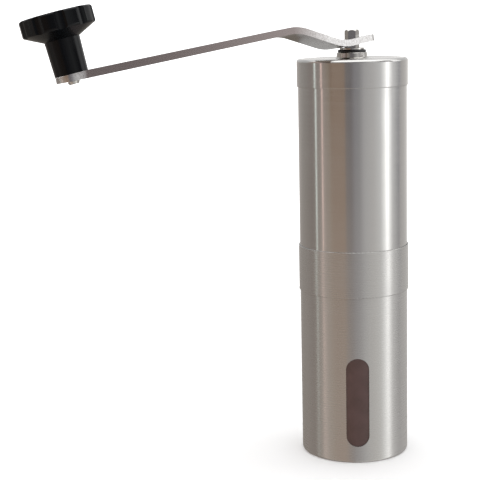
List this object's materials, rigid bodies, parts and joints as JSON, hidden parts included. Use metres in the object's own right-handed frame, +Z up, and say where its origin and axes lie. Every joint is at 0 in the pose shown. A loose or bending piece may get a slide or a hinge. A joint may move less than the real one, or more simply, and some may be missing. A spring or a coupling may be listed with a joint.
{
  "type": "hand crank coffee grinder",
  "caption": "Slim hand coffee grinder: steel hopper tube in a windowed steel canister, lift-off lid, cranked conical burr and an offset knob on a long strip arm.",
  "frame": {"origin": "centre of the flat base of the canister, the face it stands on", "axes": "+Z up along the tubes and the drive shaft, -Y through the middle of the canister window; the stored crank points to -X and -Y"},
  "size_m": [0.1461, 0.1426, 0.1986],
  "materials": {
    "brushed_steel": "brushed, satin",
    "polished_steel": "ground, semi-bright",
    "strip_steel": "tumbled, satin",
    "window_plastic": "brown tinted, clear",
    "black_plastic": "moulded, semi-gloss",
    "black_nylon": "moulded, matt",
    "grey_plastic": "moulded, matt",
    "white_ceramic": "fired alumina, unglazed",
    "spring_steel": "drawn wire",
    "bronze": "sintered"
  },
  "bodies": {
    "canister": {"canister_shell": "brushed_steel", "window_pane": "window_plastic"},
    "hopper": {"hopper_tube": "brushed_steel", "burr_housing": "grey_plastic", "hub_bush": "bronze", "outer_burr": "white_ceramic", "outer_burr_retainer": "grey_plastic"},
    "shaft": {"drive_shaft": "polished_steel", "hub_washer": "polished_steel", "shaft_clip": "spring_steel", "spring_washer": "polished_steel"},
    "burr_stack": {"inner_burr": "white_ceramic", "burr_carrier": "black_nylon", "click_plate": "polished_steel", "burr_spring": "spring_steel"},
    "adjuster": {"adjuster_nut": "black_nylon"},
    "lid": {"lid_shell": "brushed_steel", "lid_insert": "grey_plastic", "lid_bush": "polished_steel", "bush_nut": "polished_steel", "thrust_ring": "black_nylon"},
    "crank_seat": {"crank_washer": "polished_steel"},
    "crank": {"crank_arm": "strip_steel", "knob_pin": "polished_steel", "knob_washer": "polished_steel"},
    "knob": {"knob_body": "black_plastic", "knob_cap": "black_plastic"}
  },
  "joints": [
    {"name": "hopper_lift", "type": "slide", "parent": "canister", "child": "hopper", "axis": [0, 0, 1], "range_m": [0, 0.045]},
    {"name": "shaft_spin", "type": "hinge", "parent": "hopper", "child": "shaft", "pos_m": [0, 0, 0.1], "axis": [0, 0, 1], "continuous": true},
    {"name": "burr_slide", "type": "slide", "parent": "shaft", "child": "burr_stack", "axis": [0, 0, 1], "range_m": [-0.00112, 0.00038], "deforming": ["burr_spring"]},
    {"name": "grind_adjust", "type": "hinge", "parent": "burr_stack", "child": "adjuster", "pos_m": [0, 0, 0.068], "axis": [0, 0, 1], "range_deg": [-540, 180]},
    {"name": "lid_lift", "type": "slide", "parent": "hopper", "child": "lid", "axis": [0, 0, 1], "range_m": [0, 0.04]},
    {"name": "crank_turn", "type": "hinge", "parent": "lid", "child": "crank_seat", "pos_m": [0, 0, 0.178], "axis": [0, 0, 1], "continuous": true},
    {"name": "crank_lift", "type": "slide", "parent": "crank_seat", "child": "crank", "axis": [0, 0, 1], "range_m": [0, 0.015]},
    {"name": "knob_spin", "type": "hinge", "parent": "crank", "child": "knob", "pos_m": [-0.10468, -0.10573, 0.17496], "axis": [-0.2306, 0.0125, 0.973], "continuous": true}
  ],
  "couplings": [
    {"joint": "crank_turn", "follows": "shaft_spin", "ratio": 1},
    {"joint": "grind_adjust", "follows": "burr_slide", "rad_per_m": 8377.6}
  ]
}
